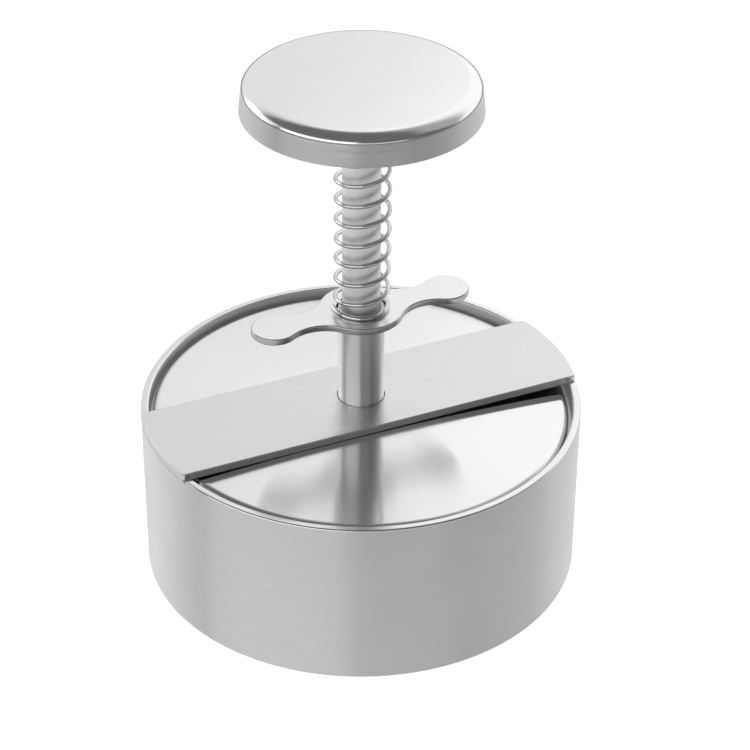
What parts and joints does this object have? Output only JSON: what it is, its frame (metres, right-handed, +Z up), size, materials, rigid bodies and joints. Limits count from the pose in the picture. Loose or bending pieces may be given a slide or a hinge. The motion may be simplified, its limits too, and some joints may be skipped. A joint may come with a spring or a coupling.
{
  "type": "patty press",
  "caption": "Hand patty press: a bottomless steel ring mould with a bridge bar, guide tube and finger grip, and a spring-returned plunger with palm knob and press plate.",
  "frame": {"origin": "centre of the mould ring's lower edge, on the worktop", "axes": "+Z up along the plunger; X along the bridge bar and the finger grip; Y across them"},
  "size_m": [0.115, 0.115, 0.1399],
  "materials": {
    "ring_steel": "satin, brushed around",
    "bar_steel": "brushed lengthwise",
    "weld_steel": "weld metal, ground flush",
    "tube_steel": "mirror polished",
    "grip_steel": "fine satin",
    "spring_steel": "bright drawn wire",
    "washer_steel": "stamped, plain",
    "rod_steel": "ground and lightly polished",
    "knob_steel": "polished top, side brushed around",
    "disc_steel": "brushed in circles",
    "turned_steel": "turned",
    "plate_steel": "polished, with fine turning marks",
    "screw_steel": "machined"
  },
  "bodies": {
    "mold_frame": {"mold_ring": "ring_steel", "cross_bar": "bar_steel", "bar_weld_seams": "weld_steel", "guide_tube": "tube_steel", "tube_weld_seam": "weld_steel", "finger_grip": "grip_steel", "grip_weld_seam": "weld_steel", "return_spring": "spring_steel"},
    "spring_seat": {"spring_washer": "washer_steel"},
    "plunger": {"plunger_rod": "rod_steel", "lock_washer": "washer_steel", "knob_cap": "knob_steel", "knob_base": "disc_steel", "knob_boss": "turned_steel", "knob_weld_seam": "weld_steel", "press_plate": "plate_steel", "pressing_disc": "disc_steel", "plate_weld_seam": "weld_steel", "plate_spacer": "turned_steel", "plate_screw": "screw_steel"}
  },
  "joints": [
    {"name": "plunger_slide", "type": "slide", "parent": "mold_frame", "child": "spring_seat", "axis": [0, 0, -1], "range_m": [0, 0.039], "stiffness_N_per_m": 820, "springref_m": -0.008, "deforming": ["return_spring"]},
    {"name": "plunger_spin", "type": "hinge", "parent": "spring_seat", "child": "plunger", "pos_m": [0, 0, 0.1], "axis": [0, 0, 1], "continuous": true}
  ]
}
